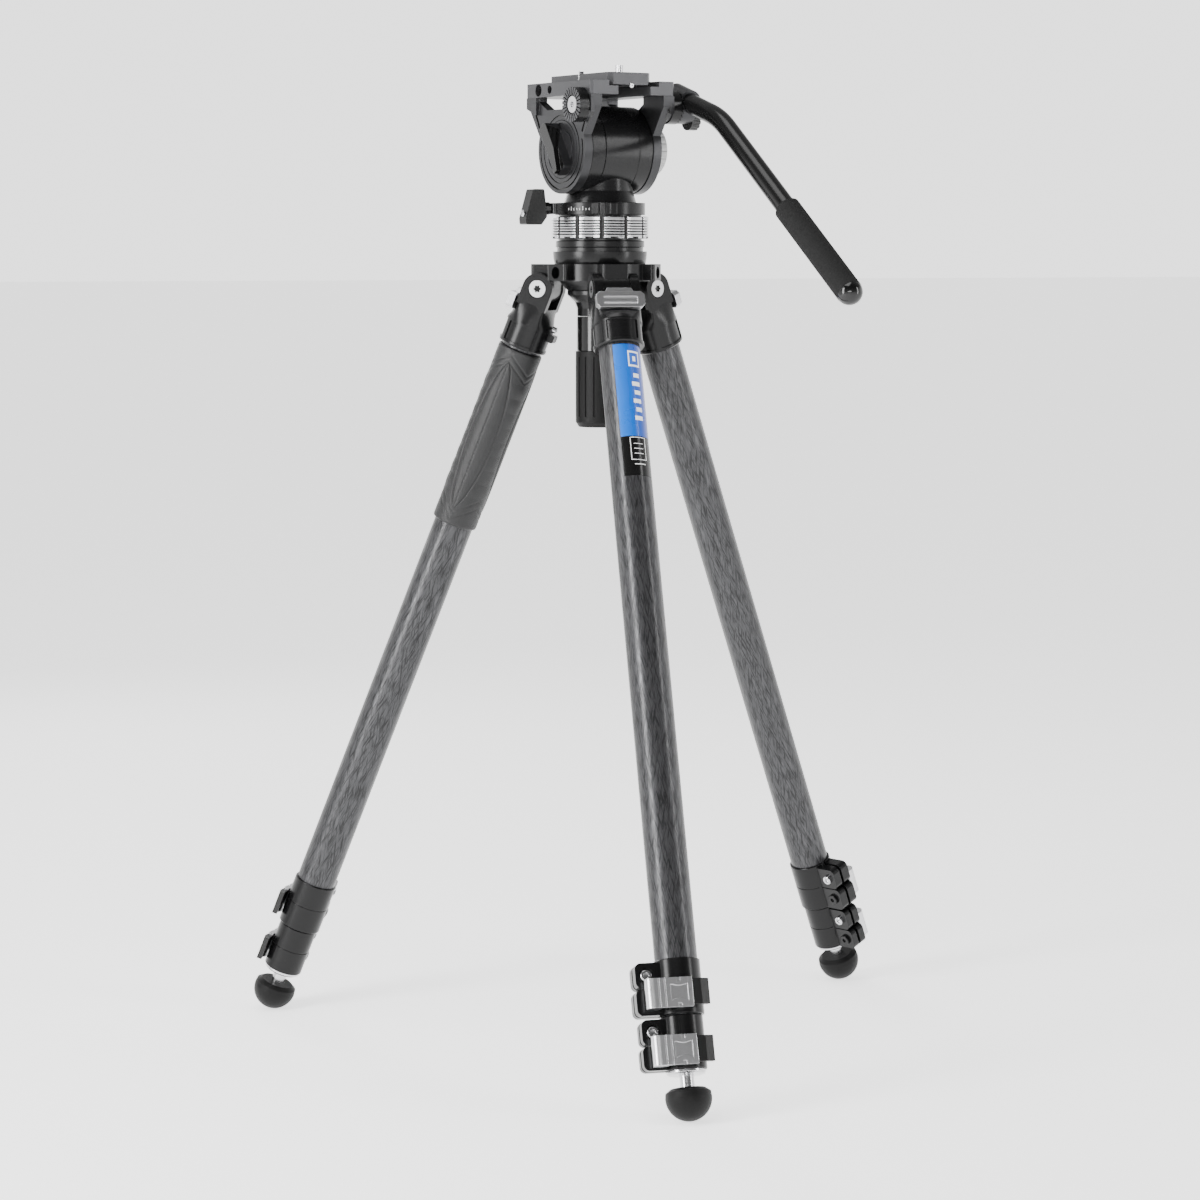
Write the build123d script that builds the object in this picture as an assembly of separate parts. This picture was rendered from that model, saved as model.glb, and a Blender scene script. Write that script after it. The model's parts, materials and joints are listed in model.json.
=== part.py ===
from build123d import *
import math
import os

# Tripod with a levelling half ball and a fluid head, in millimetres.
# Origin on the floor under the pan axis, +Z up, +Y the way the camera looks, +X to the operator's right.

# ---- driving dimensions: crown and legs ----
LEG_AZIMUTHS = {"a": 130.8, "b": 250.8, "c": 10.8}  # degrees about +Z from +X
LEG_TILT = 22.2            # legs' angle from the vertical, on the first stop
HINGE_R = 46.9             # hinge pins' distance from the pan axis
FOOT_R = 17.35             # rubber foot
FOOT_S = 634.3             # foot's sphere centre, down the leg from the hinge
HINGE_Z = FOOT_R + FOOT_S * math.cos(math.radians(LEG_TILT))
PIN_R = 4.0
EAR_R = 12.5
EAR_IN, EAR_OUT = 11.3, 18.2   # clevis ears, each side of the leg's middle plane
CAM_R = 11.5               # notched cam on the spider, about the hinge pin
LOBE_HALF = 11.0
LOBE_REACH = 55.0
SLEEVE_R = 20.0
TUBE_R = (16.0, 14.0, 11.8)    # upper, middle and lower tubes
TUBE_WALL = 1.2
TUBE_SPANS = ((32.0, 556.0), (62.0, 597.0), (78.0, 614.4))   # stations down the leg
COLLAR_TOP = (533.0, 574.8)    # stations of the two clamp collars
COLLAR_LENGTH = (41.3, 39.7)
COLLAR_R = (17.5, 15.9)
LEVER_HALF = 11.0              # half the flip lever's height
LEVER_STATION = 26.5           # lever's middle, below the collar's top
LEVER_PIVOT = (16.3, -23.6)    # lever's hinge on the upper collar, in the leg's own X and Y
PAD_SPAN, PAD_R = (52.0, 205.0), 18.9

# ---- driving dimensions: levelling bowl ----
SPIDER_TOP, SPIDER_LOW = 624.3, 610.8
HUB_R = 40.0
BALL_R, BALL_Z = 37.5, 634.0
BOWL_GAP = 0.3
BOWL_OUTER_R = 40.0
BOWL_HOLE_R = 15.5
LINER_LOW, LINER_TOP = 613.2, 618.6   # friction ring in the bowl
BOSS_REACH = 48.0
CROWN_BORE = 7.5               # depth of the bosses' accessory holes
ACCESSORY_HOLE_R = 4.76        # 3/8 inch thread
SMALL_HOLE_R = 3.175           # 1/4 inch thread
STUD_R = 5.0

# ---- driving dimensions: fluid head ----
TILT_Z = 714.5
DRUM_R = 34.5
BARREL_HALF = 15.4
DRUM_HALF = 28.3
CHEEK_IN, CHEEK_OUT = 28.6, 36.0
AXLE_R = 6.0
PLATFORM = (39.0, 49.0, 756.0, 767.0)   # half width, half length, underside, top
PLATE = (19.8, 45.0, 764.0, 773.5)
ROSETTE_Y, ROSETTE_Z, ROSETTE_R = -34.0, 748.0, 13.5
BAR_X, BAR_R = 56.2, 7.8
CLAMP_KNOB = (ROSETTE_Y + 1.5, ROSETTE_Z - 9.8)   # y, z of the pan bar's clamp knob
PAN_KNOB_Z = 668.0
PLATE_KNOB_Y = -8.0
SCREW_Y = -28.0                # camera screw
LARGE_BORE, SMALL_BORE = 9.0, 7.5     # depths of the platform's side threads
RUNNING = 0.05                 # radial clearance of a running fit
SNUG = 0.02                    # radial clearance of parts fixed to each other
BAR_ROUTE = ((-36.4, 753.6), (-86.4, 737.9), (-257.4, 604.1))   # y, z of the pan bar's line
GRIP_START = 0.525             # where the foam grip begins, as a part of the bar's second run


def rod(radius, low, high):
    return Pos(0, 0, (low + high) / 2) * Cylinder(radius, high - low)


def ring(outer, inner, low, high):
    return rod(outer, low, high) - rod(inner, low - 1, high + 1)


def block(x0, x1, y0, y1, z0, z1):
    return Pos((x0 + x1) / 2, (y0 + y1) / 2, (z0 + z1) / 2) * Box(x1 - x0, y1 - y0, z1 - z0)


def rod_x(radius, x0, x1, y=0.0, z=0.0):
    return Pos((x0 + x1) / 2, y, z) * Rot(0, 90, 0) * Cylinder(radius, abs(x1 - x0))


def rod_y(radius, y0, y1, x=0.0, z=0.0):
    return Pos(x, (y0 + y1) / 2, z) * Rot(90, 0, 0) * Cylinder(radius, abs(y1 - y0))


def turned(*points):
    """A solid of revolution about Z from its half outline, as (radius, z) corners."""
    return revolve(Plane.XZ * make_face(Polyline(*points, close=True)), Axis.Z)


def plate_yz(x0, x1, *points):
    """A flat plate between x0 and x1 from its outline in Y and Z."""
    face = Plane.YZ.offset(x0) * make_face(Polyline(*points, close=True))
    return extrude(face, x1 - x0)


def on_leg(shape, azimuth):
    """From a leg's own frame (hinge at the origin, -Z down the leg, +X outwards) to the tripod."""
    return Rot(0, 0, azimuth) * Pos(HINGE_R, 0, HINGE_Z) * Rot(0, -LEG_TILT, 0) * shape


# ---- crown ----
def spider():
    body = rod(HUB_R, SPIDER_LOW, SPIDER_TOP)
    bowl = Pos(0, 0, BALL_Z) * Sphere(BOWL_OUTER_R)
    body += bowl & rod(HUB_R, BALL_Z - BOWL_OUTER_R, SPIDER_LOW + 1)
    for azimuth in LEG_AZIMUTHS.values():
        lobe = block(20, LOBE_REACH, -LOBE_HALF, LOBE_HALF, SPIDER_LOW, SPIDER_TOP)
        lobe = fillet(lobe.edges().filter_by(Axis.Z).sort_by(Axis.X)[-2:], 2.5)
        cam = rod_y(CAM_R, -LOBE_HALF, LOBE_HALF, HINGE_R, HINGE_Z)
        neck = block(HINGE_R - CAM_R, LOBE_REACH - 1, -LOBE_HALF, LOBE_HALF, HINGE_Z, SPIDER_LOW + 1)
        stop = Rot(0, 0, azimuth) * (lobe + cam + neck)
        for turn in (-20.0, -48.0, -76.0):
            notch = Pos(CAM_R + 0.4, 0, 0) * Box(2.2, 2 * LOBE_HALF + 2, 2.6)
            stop -= Rot(0, 0, azimuth) * Pos(HINGE_R, 0, HINGE_Z) * Rot(0, -turn, 0) * notch
        body += stop
    for azimuth in LEG_AZIMUTHS.values():
        boss = block(20, BOSS_REACH, -LOBE_HALF, LOBE_HALF, SPIDER_LOW + 0.6, SPIDER_TOP)
        boss = fillet(boss.edges().filter_by(Axis.Z).sort_by(Axis.X)[-2:], 3)
        body += Rot(0, 0, azimuth + 60) * boss
    body -= Pos(0, 0, BALL_Z) * Sphere(BALL_R + BOWL_GAP)
    body -= rod(BOWL_HOLE_R, BALL_Z - BOWL_OUTER_R - 2, BALL_Z)
    groove = (Pos(0, 0, BALL_Z) * Sphere(BALL_R + 2.1)) & rod(HUB_R, LINER_LOW - 0.3, LINER_TOP + 0.3)
    body -= groove
    for azimuth in LEG_AZIMUTHS.values():
        cuts = rod_y(PIN_R + SNUG, -20, 20, HINGE_R, HINGE_Z)
        for side in (-1, 1):
            cuts += rod_y(EAR_R + 0.5, side * LOBE_HALF, side * 20, HINGE_R, HINGE_Z)
        body -= Rot(0, 0, azimuth) * cuts
        bore = rod_x(ACCESSORY_HOLE_R, BOSS_REACH - CROWN_BORE, BOSS_REACH + 2, 0, (SPIDER_TOP + SPIDER_LOW) / 2)
        body -= Rot(0, 0, azimuth + 60) * bore
    return body


def bowl_ring():
    band = Pos(0, 0, BALL_Z) * (Sphere(BALL_R + 1.8) - Sphere(BALL_R + BOWL_GAP))
    return band & rod(HUB_R, LINER_LOW, LINER_TOP)


def hinge_bolts():
    bolts = []
    for azimuth in LEG_AZIMUTHS.values():
        bolt = rod_y(PIN_R, -17.8, 17.8, HINGE_R, HINGE_Z)
        for side in (-1, 1):
            head = rod_y(6.8, side * 15.4, side * 18.0, HINGE_R, HINGE_Z)
            star = Circle(2.2)
            for i in range(6):
                star += Rot(0, 0, 60 * i) * Pos(2.1, 0) * Circle(0.9)
            drive = extrude(star, 1.4)
            drive = Pos(HINGE_R, side * (18.1 - 1.4), HINGE_Z) * Rot(-90 * side, 0, 0) * drive
            bolt += head
            bolt -= drive
        bolts.append(Rot(0, 0, azimuth) * bolt)
    return Compound(children=bolts)


# ---- one leg, in the leg's own frame ----
def knuckle():
    ears = rod_y(EAR_R, -EAR_OUT, EAR_OUT) + block(-EAR_R, EAR_R, -EAR_OUT, EAR_OUT, -16, 0)
    shoulder = loft([
        Plane.XY.offset(-30) * Circle(SLEEVE_R),
        Plane.XY.offset(-12.5) * RectangleRounded(2 * EAR_R - 0.2, 2 * EAR_OUT - 0.2, 4),
    ])
    sleeve = rod(SLEEVE_R, -50, -30)
    sleeve = chamfer(sleeve.edges().sort_by(Axis.Z)[0], 1.0)
    body = ears + shoulder + sleeve
    for turn in range(0, 360, 90):
        panel = ring(SLEEVE_R + 2, SLEEVE_R - 0.9, -47, -31.5) & block(0, 25, -12.2, 12.2, -47, -31.5)
        body -= Rot(0, 0, turn) * panel
    body -= block(-25, 25, -EAR_IN, EAR_IN, -13.5, 20)
    body -= rod_y(PIN_R + RUNNING, -20, 20)
    for side in (-1, 1):
        body -= rod_y(7.1, side * 15.2, side * 20)
    body -= block(13.5, 24, -21, 21, -24, -5)
    body -= rod(TUBE_R[0], -51, -32)
    bumper = block(-24, -18.6, -4.5, 4.5, -38, -31.5)
    bumper = fillet(bumper.edges().filter_by(Axis.Y).sort_by(Axis.X)[:2], 1.5)
    return body + (bumper - rod(SLEEVE_R - 1.5, -40, -30))


def angle_lock():
    tab = block(14.2, 20.2, -19.2, 19.2, -22.5, -9.5)
    tab = chamfer(tab.edges().filter_by(Axis.X), 2.6)
    tab -= rod_y(9.0, -13.5, 13.5, 28.6, -16.5)
    neck = Plane.YZ.offset(14.2) * make_face(
        Polyline((-12.5, -10.5), (12.5, -10.5), (9.6, -5.6), (-9.6, -5.6), close=True))
    nose = block(12.3, 14.6, -10.2, 10.2, -12.2, -7.0)
    return tab + extrude(neck, 3.6) + nose


def leg_tube(level):
    top, end = TUBE_SPANS[level]
    return ring(TUBE_R[level], TUBE_R[level] - TUBE_WALL, -end, -top)


def collar(level):
    """A split clamp collar: its upper half holds one tube, its lower half grips the next one."""
    top, length, radius = COLLAR_TOP[level], COLLAR_LENGTH[level], COLLAR_R[level]
    shift = radius - COLLAR_R[0]
    seat_end = TUBE_SPANS[level][1]
    body = rod(radius, -top - length, -top)
    body = chamfer(body.edges().filter_by(GeomType.CIRCLE), 0.6)
    for low, high, reach in ((20.6, 2.0, -34.2), (length - 0.3, 21.4, -34.8)):
        lugs = block(-8.6 - shift, 9.6 + shift, reach - shift, -8, -top - low, -top - high)
        lugs = fillet(lugs.edges().filter_by(Axis.X).sort_by(Axis.Y)[:2], 4.5)
        body += lugs
    body -= rod(TUBE_R[level], -seat_end, -top + 1)
    body -= rod(TUBE_R[level + 1] + 0.5, -top - length - 1, -seat_end + 1)
    body -= block(-1.3, 1.3, -40, -TUBE_R[level + 1], -top - length - 1, -top + 1)
    bolt_y = -26.0 - shift
    upper = -top - 11.3
    body -= rod_x(2.2, -20, 20, bolt_y, upper)
    body -= rod_x(5.6, 6.4 + shift, 20, bolt_y, upper)
    body -= rod_x(2.2, -20, 20, bolt_y, -top - 31.0)
    groove = -top - length / 2 + 0.4
    return body - (ring(radius + 1, radius - 0.5, groove - 0.4, groove + 0.4) - block(-30, 30, -30, -14, -700, 0))


def flip_lever(level):
    """A silver lever that wraps the collar's outer face, hinged at its left corner, with a dark tip."""
    shift = COLLAR_R[level] - COLLAR_R[0]
    middle = -COLLAR_TOP[level] - LEVER_STATION
    low, high = middle - LEVER_HALF, middle + LEVER_HALF
    pivot_x, pivot_y = LEVER_PIVOT[0] + shift, LEVER_PIVOT[1] - shift
    body = Pos(pivot_x, pivot_y, 0) * rod(6.0, low, high)
    face_x = pivot_x + 6.0
    body += block(face_x - 4.0, face_x, pivot_y, 5.0, low, high)
    body += block(face_x - 8.4, face_x - 3.9, pivot_y, pivot_y + 7.0, low + 0.5, high - 0.5)
    for y in (pivot_y + 3.5, pivot_y + 8.0):
        body -= block(face_x - 0.5, face_x + 1, y - 0.45, y + 0.45, low - 1, high + 1)
    pad = block(face_x - 1.5, face_x + 1, -11.6, 1.6, middle - 6.4, middle + 6.0)
    pad -= Pos(face_x - 3.5, -5.0, middle - 15.2) * Rot(0, 90, 0) * Cylinder(11.0, 12)
    pad -= Pos(face_x - 3.5, -5.0, middle + 16.4) * Rot(0, 90, 0) * Cylinder(11.5, 12)
    body -= pad
    for z in (middle + 9.6, middle - 9.8):
        body -= block(face_x - 1.0, face_x + 1, -6.2, -3.8, z - 1.6, z + 1.6)
    tip = block(face_x - 4.4, face_x + 0.3, 5.0, 11.5, low + 1.5, high - 1.5)
    hook = Plane.XY.offset(low + 1.5) * make_face(Polyline(
        (face_x - 4.4, 11.4), (face_x + 0.3, 11.4), (face_x - 1.6, 17.8), (face_x - 5.6, 16.6), close=True))
    return body + tip + extrude(hook, 2 * LEVER_HALF - 3.0)


def end_plug():
    """Silver plug in the lower tube, with a flange under the clamp and the foot's stud."""
    low = -COLLAR_TOP[1] - COLLAR_LENGTH[1]
    plug = rod(TUBE_R[2] - TUBE_WALL, low + 0.2, low + 14)
    flange = rod(14.4, low - 2.9, low - 0.2)
    flange = chamfer(flange.edges().filter_by(GeomType.CIRCLE).sort_by(Axis.Z)[:1], 1.0)
    stud = rod(5.4, -631.0, low - 2.8)
    hex_part = rod(TUBE_R[2] - TUBE_WALL, low - 0.3, low + 0.3)
    return plug + flange + stud + hex_part


def rubber_foot():
    dome = Pos(0, 0, -FOOT_S) * Sphere(FOOT_R)
    dome -= block(-30, 30, -30, 30, -FOOT_S, -FOOT_S + 30)
    top = loft([
        Plane.XY.offset(-FOOT_S) * Circle(FOOT_R),
        Plane.XY.offset(-FOOT_S + 4.0) * Circle(FOOT_R - 0.5),
        Plane.XY.offset(-FOOT_S + 6.6) * Circle(13.2),
    ], ruled=True)
    return dome + top - rod(5.4, -631.0, -600)


def leg_pad():
    return ring(PAD_R, TUBE_R[0] + SNUG, -PAD_SPAN[1], -PAD_SPAN[0])


# ---- levelling ----
def half_ball():
    ball = Pos(0, 0, BALL_Z) * Sphere(BALL_R)
    shell = ball - Pos(0, 0, BALL_Z) * Sphere(BALL_R - 4.5)
    shell = shell & rod(HUB_R, 603.5, 634.3)
    lid = rod(34.5, 629.5, 637.4)
    boss = rod(9.5, 600.0, 630.0)
    inner = Pos(0, 0, BALL_Z) * Sphere(BALL_R)
    return shell + lid + (boss & inner) + rod(STUD_R, 540, 602)


def level_cup():
    seat_r = BOWL_OUTER_R + BOWL_GAP
    bore = STUD_R + RUNNING
    outline = turned(
        (bore, 583.0), (18.3, 583.0), (18.3, 589.0), (20.0, 594.0), (26.0, 600.0), (26.0, 606.0), (bore, 606.0))
    return outline - Pos(0, 0, BALL_Z) * Sphere(seat_r)


def level_handle():
    core = turned((STUD_R + 0.05, 498.0), (STUD_R + 0.05, 582.6), (18.5, 582.6), (18.5, 555.5), (19.5, 555.0),
                  (19.5, 498.5), (17.0, 494.6), (0.0, 494.6), (0.0, 498.0))
    for i in range(16):
        flute = block(18.6, 21, -1.0, 1.0, 503.0, 551.0)
        flute = fillet(flute.edges().filter_by(Axis.X), 0.9)
        core -= Rot(0, 0, 22.5 * i) * flute
    return core


def link_seat():
    body = ring(35.4, 14.0, 637.5, 642.8) + ring(33.4, 14.0, 642.8, 652.4)
    return chamfer(body.edges().filter_by(GeomType.CIRCLE).group_by(SortBy.RADIUS)[-1], 0.5)


def lock_ring():
    low, high, outer = 644.4, 661.8, 38.7
    body = ring(outer, 34.0, low, high)
    body = chamfer(body.edges().filter_by(GeomType.CIRCLE).group_by(SortBy.RADIUS)[-1], 0.7)
    for i in range(6):
        z = low + 3.4 + 2.1 * i
        body -= ring(outer + 1, outer - 0.7, z - 0.5, z + 0.5)
    for i in range(12):
        slot = Pos(outer + 0.6, 0, 0) * rod(2.0, low - 1, high + 1)
        scallop = Pos(outer + 1.0, 0, 0) * rod(3.6, low - 0.5, low + 1.6)
        body -= Rot(0, 0, 30 * i) * slot
        body -= Rot(0, 0, 30 * i + 15) * scallop
    return body


# ---- fluid head ----
def pan_base():
    body = ring(36.0, 11.0, 663.2, 672.6) + rod(9.9, 652.8, 692.0) + ring(33.0, 9.0, 652.8, 663.4)
    body = body + rod(12.0, 663.2, 672.6)
    lobe = block(-48, -30, -8.2, 8.2, 663.6, 672.2)
    lobe = fillet(lobe.edges().filter_by(Axis.Z).sort_by(Axis.X)[:2], 3)
    body += lobe
    for turn in (-128.0, -106.0):
        ear = block(33, 38.6, -3.4, 3.4, 663.6, 672.2)
        body += Rot(0, 0, turn) * fillet(ear.edges().filter_by(Axis.Z).sort_by(Axis.X)[-2:], 1.6)
    body -= Rot(0, 0, -117) * block(30, 40, -1.6, 1.6, 662, 674)
    return body - rod_x(3.05, -50, -38, 0, PAN_KNOB_Z)


def pan_lock_knob():
    stem = rod_x(3.0, -62, -38.5, 0, PAN_KNOB_Z) + rod_x(5.0, -60, -48.4, 0, PAN_KNOB_Z)
    outline = Plane.XZ.offset(-5.2) * make_face(Polyline(
        (-71.5, 655.2), (-57.5, 655.2), (-52.5, 661.5), (-55.0, 683.0), (-65.0, 683.0), (-72.0, 660.0), close=True))
    wing = extrude(outline, 10.4)
    wing = fillet(wing.edges().filter_by(Axis.Y), 1.6)
    return stem + wing


def head_body():
    neck = turned((0, 673.0), (29.0, 673.0), (26.2, 682.0), (25.6, 690.0), (25.6, 700.0), (0, 700.0))
    trunk = rod(25.6, 695, TILT_Z) & rod_x(DRUM_R - 0.6, -BARREL_HALF, BARREL_HALF, 0, TILT_Z)
    drum = rod_x(DRUM_R, -BARREL_HALF, BARREL_HALF, 0, TILT_Z)
    yoke = rod(25.6, 678, TILT_Z) & rod_x(DRUM_R + 1.2, -DRUM_HALF, DRUM_HALF, 0, TILT_Z)
    yoke -= rod_x(DRUM_R + 0.05, -40, -BARREL_HALF, 0, TILT_Z) + rod_x(DRUM_R + 0.05, BARREL_HALF, 40, 0, TILT_Z)
    body = neck + trunk + drum + yoke
    body -= rod_x(DRUM_R + 0.05, -40, -BARREL_HALF, 0, TILT_Z)
    body -= rod_x(DRUM_R + 0.05, BARREL_HALF, 40, 0, TILT_Z)
    body -= rod_x(AXLE_R + RUNNING, -40, 40, 0, TILT_Z)
    return body - rod(9.9 + RUNNING, 660, 692.4)


def drag_cartridges():
    sides = []
    for side in (-1, 1):
        case = rod_x(DRUM_R - 0.1, side * (BARREL_HALF + 0.25), side * DRUM_HALF, 0, TILT_Z)
        case = chamfer(case.edges().filter_by(GeomType.CIRCLE), 0.5)
        sides.append(case - rod_x(AXLE_R + RUNNING, -40, 40, 0, TILT_Z))
    return Compound(children=sides)


def tilt_axle():
    return rod_x(AXLE_R, -31.0, 33.0, 0, TILT_Z)


def cheek(side):
    """A cheek casting for the right side (+X); the left one is its mirror image."""
    half, underside = PLATFORM[1] - 0.6, PLATFORM[2]
    disc = rod_x(DRUM_R + 0.4, CHEEK_IN, CHEEK_OUT, 0, TILT_Z)
    arms = plate_yz(CHEEK_IN, CHEEK_OUT, (half, underside), (half, 747.5), (33.0, 725.0), (31.0, 714.5),
                    (-31.0, 714.5), (-33.0, 725.0), (-half, 747.5), (-half, underside))
    body = disc + arms
    for y0, y1 in ((34.0, half), (-half, -34.0)):
        body += block(30.6, PLATFORM[0] - 0.2, y0, y1, 749.5, underside)
        body += plate_yz(CHEEK_OUT - 1, PLATFORM[0] - 0.2, (y0, 750), (y1, 750), (y1, 747.5), (y0, 742.0))
    window = plate_yz(20, 45, (-19, 757), (33.5, 757), (33.5, 752.5), (21.0, 745.8), (-11.0, 745.8), (-19, 750.5))
    body -= window
    body += rod_x(12.6, CHEEK_OUT - 2, PLATFORM[0], ROSETTE_Y, ROSETTE_Z)
    body -= block(20, 50, -60, 60, underside, underside + 10)
    groove = ring_x(32.0, 30.6, CHEEK_OUT - 1.3, CHEEK_OUT + 1, TILT_Z) & block(30, 40, -40, 40, 670, 722)
    body -= groove
    for y_sign in (1, -1):
        slash = plate_yz(CHEEK_OUT - 1.3, CHEEK_OUT + 0.01, (43.5 * y_sign, 750.0), (41.5 * y_sign, 750.5),
                         (29.5 * y_sign, 728.0), (31.6 * y_sign, 727.0))
        body -= slash
    body -= ring_x(27.0, 25.9, CHEEK_OUT - 0.9, CHEEK_OUT + 1, TILT_Z)
    body -= rod_x(23.0, CHEEK_OUT - 3.2, CHEEK_OUT + 1, 0, TILT_Z)
    body -= rod_x(AXLE_R, 20, 33.0, 0, TILT_Z)
    return body if side > 0 else mirror(body, Plane.YZ)


def ring_x(outer, inner, x0, x1, z):
    return rod_x(outer, x0, x1, 0, z) - rod_x(inner, x0 - 1, x1 + 1, 0, z)


def left_knob():
    """Tilt dial recessed in the left cheek, with a wing bar across it."""
    face = -CHEEK_OUT
    dial = rod_x(22.6, face - 0.2, face + 2.9, 0, TILT_Z) - ring_x(20.6, 15.5, face - 1, face + 1.0, TILT_Z)
    wing = block(face - 12.2, face + 0.5, -7.0, 7.0, -21.0, 21.0)
    wing = fillet(wing.edges().filter_by(Axis.X), 2.5)
    wing -= plate_yz(face - 13, face - 8.0, (-8, -21.5), (-8, 0), (-1, -21.5))
    wing -= block(face - 16.6, face - 8.6, 3.4, 12, -30, 30)
    return dial + Pos(0, 0, TILT_Z) * Rot(-33, 0, 0) * wing


def right_knob():
    knob = rod_x(19.5, CHEEK_OUT + 1.2, 52.4, 0, TILT_Z)
    knob = fillet(knob.edges().filter_by(GeomType.CIRCLE).sort_by(Axis.X)[-1], 2.2)
    for i in range(20):
        flute = rod_x(1.5, CHEEK_OUT + 3, 53, 0, 0)
        knob -= Pos(0, 0, TILT_Z) * Rot(18 * i, 0, 0) * Pos(0, 0, 20.3) * flute
    return knob + rod_x(12.0, CHEEK_OUT - 2.9, CHEEK_OUT + 1.4, 0, TILT_Z)


def platform():
    half_w, half_l, low, top = PLATFORM
    body = block(-half_w, half_w, -half_l, half_l, low, top)
    body = chamfer(body.edges().filter_by(Axis.Z), 2.0)
    body -= block(-22.4, 24.0, -half_l - 1, half_l + 1, top - 4.2, top + 1)
    body -= block(-19.95, 19.95, -half_l - 1, half_l + 1, PLATE[2] - 0.05, top + 1)
    body -= block(-14.0, 16.0, -half_l - 1, 14.0, low - 1, top)
    body -= block(-14.0, 16.0, 22.0, 38.0, low - 1, top)
    for side in (-1, 1):
        for radius, depth, y in ((ACCESSORY_HOLE_R, LARGE_BORE, 30.0), (SMALL_HOLE_R, SMALL_BORE, 13.0)):
            body -= rod_x(radius, side * (half_w + 1), side * (half_w - depth), y, (low + top) / 2)
    body -= rod_x(2.55, 24, 45, PLATE_KNOB_Y, (low + top) / 2 - 0.5)
    return body


def plate_lock_knob():
    z = (PLATFORM[2] + PLATFORM[3]) / 2 - 0.5
    knob = rod_x(2.5, 30.0, 43.0, PLATE_KNOB_Y, z) + rod_x(8.0, 41.0, 51.0, PLATE_KNOB_Y, z)
    for i in range(12):
        flute = rod_x(1.1, 42.5, 52.0)
        knob -= Pos(0, PLATE_KNOB_Y, z) * Rot(30 * i, 0, 0) * Pos(0, 0, 8.4) * flute
    return knob


def camera_plate():
    half_w, half_l, low, top = PLATE
    body = block(-half_w, half_w, -half_l, half_l, low, top)
    body = chamfer(body.edges().filter_by(Axis.Z), 3.6)
    body -= block(-3.3, 3.3, -36.0, 8.0, low - 1, top + 1)
    body -= block(-7.2, 7.2, -36.0, 8.0, low - 1, top - 3.0)
    body -= block(-16.0, 16.0, -41.5, 41.5, top - 0.5, top + 1) - block(-3.9, 3.9, -41.5, 41.5, 0, 800) \
        - block(-16.0, 16.0, -5, -3.5, 0, 800) - block(-16.0, 16.0, 20, 21.5, 0, 800)
    body += rod(2.0, top - 2.0, top + 4.0).move(Location((0, 28.0, 0)))
    return body


def camera_screw():
    top = PLATE[3]
    shape = rod(SMALL_HOLE_R, top + 0.2, top + 6.2) + rod(2.7, top - 4, top + 1) + rod(6.9, top - 7.4, top - 3.1)
    screw = Pos(0, SCREW_Y, 0) * shape
    screw -= Pos(0, SCREW_Y, 0) * Box(1.4, 11, 1.6).move(Location((0, 0, top - 7.0)))
    return screw


def rosettes():
    pair = []
    for side in (-1, 1):
        disc = rod_x(ROSETTE_R, side * 39.05, side * 48.0, ROSETTE_Y, ROSETTE_Z)
        for i in range(24):
            groove = Pos(side * 48.0, 0, 10.7) * Box(2.4, 1.0, 6.2)
            disc -= Pos(0, ROSETTE_Y, ROSETTE_Z) * Rot(15 * i, 0, 0) * groove
        disc -= rod_x(7.3, side * 46.4, side * 49, ROSETTE_Y, ROSETTE_Z)
        disc -= rod_x(SMALL_HOLE_R, side * 40.5, side * 49, ROSETTE_Y, ROSETTE_Z)
        pair.append(disc)
    return Compound(children=pair)


def bar_direction(run):
    (y0, z0), (y1, z1) = BAR_ROUTE[run], BAR_ROUTE[run + 1]
    length = math.hypot(y1 - y0, z1 - z0)
    return (y1 - y0) / length, (z1 - z0) / length, length


def along_bar(radius, run, start, end):
    """A rod on the pan bar's line, between two distances from the run's first point."""
    dy, dz, _ = bar_direction(run)
    y0, z0 = BAR_ROUTE[run]
    plane = Plane(origin=(BAR_X, y0 + dy * start, z0 + dz * start), z_dir=(0, dy, dz))
    return extrude(plane * Circle(radius), end - start)


def bar_clamp():
    body = rod_x(13.0, 48.3, 61.0, ROSETTE_Y, ROSETTE_Z)
    body += along_bar(10.2, 0, -14.0, 8.0) & block(48.3, 80, -100, 0, 700, 800)
    body -= along_bar(BAR_R + SNUG, 0, -SNUG, 12.0)
    body -= rod_x(8.6, 61.1, 72.0, *CLAMP_KNOB)
    for i in range(24):
        groove = Pos(48.3, 0, 10.2) * Box(1.8, 1.0, 5.6)
        body -= Pos(0, ROSETTE_Y, ROSETTE_Z) * Rot(15 * i + 7.5, 0, 0) * groove
    return body - rod_x(2.55, 52.0, 62, *CLAMP_KNOB)


def clamp_knob():
    y, z = CLAMP_KNOB
    knob = rod_x(8.0, 61.4, 69.5, y, z) + rod_x(2.5, 52.4, 62.0, y, z)
    for i in range(12):
        knob -= Pos(0, y, z) * Rot(30 * i, 0, 0) * Pos(0, 0, 8.5) * rod_x(1.2, 62.5, 70)
    return knob


def bar_path():
    points = [(BAR_X, y, z) for y, z in BAR_ROUTE]
    return FilletPolyline(*points, radius=[70.0])


def pan_bar():
    path = bar_path()
    section = Plane(origin=path @ 0, z_dir=path % 0)
    outer = sweep(section * Circle(BAR_R), path)
    return outer - sweep(section * Circle(BAR_R - 1.6), path)


def bar_grip():
    _, _, length = bar_direction(1)
    start = length * GRIP_START
    grip = along_bar(10.2, 1, start, length - 0.02)
    grip = chamfer(grip.edges().filter_by(GeomType.CIRCLE).sort_by(Axis.Z)[-1], 2.2)
    end = Pos(BAR_X, *BAR_ROUTE[2]) * Sphere(10.0)
    grip = grip + end
    return grip - along_bar(BAR_R + SNUG, 1, start - 5, length)


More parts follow.
